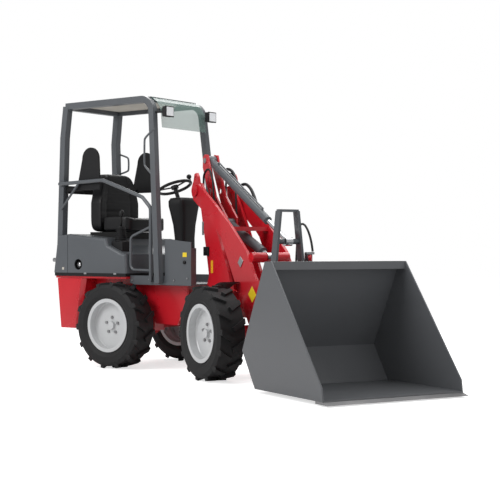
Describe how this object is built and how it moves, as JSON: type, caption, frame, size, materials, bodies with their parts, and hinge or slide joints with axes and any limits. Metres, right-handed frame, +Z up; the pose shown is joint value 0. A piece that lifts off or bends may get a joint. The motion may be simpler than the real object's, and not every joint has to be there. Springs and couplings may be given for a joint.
{
  "type": "compact wheel loader",
  "caption": "Articulated compact wheel loader with an open canopy, a lift arm frame with a parallel tilt linkage, and a wide bucket; steering, loader, wheels and rear door move.",
  "frame": {"origin": "middle of the bounding box in plan, at the ground below the tyres", "axes": "+X forward along the rear half, +Y to its left, +Z up; the front half is turned 23.7 degrees to the right at rest"},
  "size_m": [3.9116, 1.9904, 2.1265],
  "materials": {
    "red_paint": "gloss",
    "slate_paint": "gloss",
    "grey_paint": "satin",
    "rim_paint": "satin",
    "tyre_rubber": "matte",
    "black_plastic": "satin",
    "seat_vinyl": "satin",
    "black_steel": "satin",
    "chrome_rod": "polished",
    "steel": "brushed",
    "roof_panel": "matte",
    "tinted_sheet": "gloss"
  },
  "bodies": {
    "rear_frame": {"rear_axle": "red_paint", "rear_chassis": "red_paint", "pivot_pin": "steel", "counterweight": "red_paint", "rear_cover": "slate_paint", "engine_hood": "slate_paint", "hood_seal": "black_plastic", "fuel_filler": "black_plastic", "engine_block": "black_steel", "platform": "slate_paint", "leg_panel": "slate_paint", "seat_base": "black_steel", "seat_cushion": "seat_vinyl", "seat_backrest": "seat_vinyl", "side_guards": "black_plastic", "guard_crossbar": "black_plastic", "rear_posts": "slate_paint", "canopy_side_left": "slate_paint", "canopy_side_right": "slate_paint", "canopy_cross_tubes": "slate_paint", "roof_panel": "roof_panel", "visor": "tinted_sheet", "guard_rail": "slate_paint", "steering_console": "black_plastic", "joystick": "black_plastic", "work_lamps": "black_plastic", "tail_pipe": "steel", "drawbar_jaw": "black_steel"},
    "front_frame": {"front_frame": "red_paint", "front_axle": "red_paint", "front_fenders": "black_plastic", "lift_cylinder_pin": "steel", "loader_hoses": "black_plastic"},
    "wheel_front_left": {"tyre_front_left": "tyre_rubber", "rim_front_left": "rim_paint"},
    "wheel_front_right": {"tyre_front_right": "tyre_rubber", "rim_front_right": "rim_paint"},
    "wheel_rear_left": {"tyre_rear_left": "tyre_rubber", "rim_rear_left": "rim_paint"},
    "wheel_rear_right": {"tyre_rear_right": "tyre_rubber", "rim_rear_right": "rim_paint"},
    "lift_arms": {"lift_arm_left": "red_paint", "lift_arm_right": "red_paint", "arm_crossbar": "red_paint"},
    "lever_pin": {"lever_pivot_pin": "steel"},
    "lever": {"tilt_lever": "slate_paint"},
    "link_pins": {"link_pins": "steel"},
    "links": {"tilt_links": "slate_paint"},
    "hitch_pins": {"hitch_pivot_pins": "steel"},
    "bucket": {"quick_hitch": "slate_paint", "bucket_shell": "slate_paint", "cutting_edge": "steel"},
    "tilt_base_pin": {"tilt_cylinder_pin": "steel"},
    "tilt_barrel": {"tilt_cylinder_barrel": "slate_paint"},
    "tilt_rod": {"tilt_cylinder_rod": "chrome_rod"},
    "lift_barrel": {"lift_cylinder_barrel": "grey_paint"},
    "lift_rod": {"lift_cylinder_rod": "chrome_rod"},
    "grille_door": {"rear_grille_door": "slate_paint"},
    "steering_wheel": {"steering_wheel": "black_plastic"}
  },
  "joints": [
    {"name": "steer", "type": "hinge", "parent": "rear_frame", "child": "front_frame", "pos_m": [-0.48579, 0.46468, 0.4765], "axis": [0, 0, 1], "range_deg": [-21.3, 68.7]},
    {"name": "lift", "type": "hinge", "parent": "front_frame", "child": "lift_arms", "pos_m": [-0.45832, 0.45262, 1.3785], "axis": [-0.4019, -0.9157, 0], "range_deg": [0, 78]},
    {"name": "wheel_front_left_spin", "type": "hinge", "parent": "front_frame", "child": "wheel_front_left", "pos_m": [0.39367, 0.54004, 0.336], "axis": [0.4019, 0.9157, 0], "continuous": true},
    {"name": "wheel_front_right_spin", "type": "hinge", "parent": "front_frame", "child": "wheel_front_right", "pos_m": [0.05403, -0.23369, 0.336], "axis": [0.4019, 0.9157, 0], "continuous": true},
    {"name": "wheel_rear_left_spin", "type": "hinge", "parent": "rear_frame", "child": "wheel_rear_left", "pos_m": [-1.13579, 0.88718, 0.336], "axis": [0, 1, 0], "continuous": true},
    {"name": "wheel_rear_right_spin", "type": "hinge", "parent": "rear_frame", "child": "wheel_rear_right", "pos_m": [-1.13579, 0.04218, 0.336], "axis": [0, 1, 0], "continuous": true},
    {"name": "hitch_pin_turn", "type": "hinge", "parent": "lift_arms", "child": "hitch_pins", "pos_m": [0.70457, -0.05785, 0.2665], "axis": [0.4019, 0.9157, 0], "range_deg": [0, 58.51]},
    {"name": "bucket_tilt", "type": "hinge", "parent": "hitch_pins", "child": "bucket", "pos_m": [0.70457, -0.05785, 0.2665], "axis": [0.4019, 0.9157, 0], "range_deg": [-25, 45]},
    {"name": "lever_pin_turn", "type": "hinge", "parent": "lift_arms", "child": "lever_pin", "pos_m": [0.53243, 0.01772, 0.6665], "axis": [0.4019, 0.9157, 0], "range_deg": [0, 58.51]},
    {"name": "lever_turn", "type": "hinge", "parent": "lever_pin", "child": "lever", "pos_m": [0.53243, 0.01772, 0.6665], "axis": [0.4019, 0.9157, 0], "range_deg": [-25, 45]},
    {"name": "link_pin_turn", "type": "hinge", "parent": "lever", "child": "link_pins", "pos_m": [0.62857, -0.02449, 0.8165], "axis": [0.4019, 0.9157, 0], "range_deg": [-58.51, 0]},
    {"name": "link_turn", "type": "hinge", "parent": "link_pins", "child": "links", "pos_m": [0.62857, -0.02449, 0.8165], "axis": [0.4019, 0.9157, 0], "range_deg": [-45, 25]},
    {"name": "tilt_pin_turn", "type": "hinge", "parent": "front_frame", "child": "tilt_base_pin", "pos_m": [-0.53066, 0.48438, 1.6185], "axis": [-0.4019, -0.9157, 0], "range_deg": [0, 71.87]},
    {"name": "tilt_barrel_turn", "type": "hinge", "parent": "tilt_base_pin", "child": "tilt_barrel", "pos_m": [-0.53066, 0.48438, 1.6185], "axis": [-0.4019, -0.9157, 0], "range_deg": [-1.09, 1.97]},
    {"name": "tilt_rod_slide", "type": "slide", "parent": "tilt_barrel", "child": "tilt_rod", "axis": [0.8028, -0.3524, -0.481], "range_m": [-0.09967, 0.1794]},
    {"name": "lift_barrel_turn", "type": "hinge", "parent": "front_frame", "child": "lift_barrel", "pos_m": [-0.25687, 0.3642, 1.1225], "axis": [-0.4019, -0.9157, 0], "range_deg": [0, 87.47]},
    {"name": "lift_rod_slide", "type": "slide", "parent": "lift_barrel", "child": "lift_rod", "axis": [0.8453, -0.3711, -0.3844], "range_m": [0, 0.40178]},
    {"name": "grille_door_turn", "type": "hinge", "parent": "rear_frame", "child": "grille_door", "pos_m": [-1.83979, 0.71068, 0.8815], "axis": [0.1521, 0, 0.9884], "range_deg": [-100, 0]},
    {"name": "steering_wheel_spin", "type": "hinge", "parent": "rear_frame", "child": "steering_wheel", "pos_m": [-0.88579, 0.46468, 1.4215], "axis": [-0.3746, 0, 0.9272], "continuous": true}
  ],
  "couplings": [
    {"joint": "hitch_pin_turn", "follows": "lift", "ratio": 0.75},
    {"joint": "lever_pin_turn", "follows": "lift", "ratio": 0.75},
    {"joint": "lever_turn", "follows": "bucket_tilt", "ratio": 1},
    {"joint": "link_pin_turn", "follows": "lift", "ratio": -0.75},
    {"joint": "link_turn", "follows": "bucket_tilt", "ratio": -1},
    {"joint": "tilt_pin_turn", "follows": "lift", "ratio": 0.9213},
    {"joint": "tilt_barrel_turn", "follows": "bucket_tilt", "ratio": 0.0437},
    {"joint": "tilt_rod_slide", "follows": "bucket_tilt", "m_per_rad": 0.2284},
    {"joint": "lift_barrel_turn", "follows": "lift", "ratio": 1.1213},
    {"joint": "lift_rod_slide", "follows": "lift", "m_per_rad": 0.2951}
  ]
}
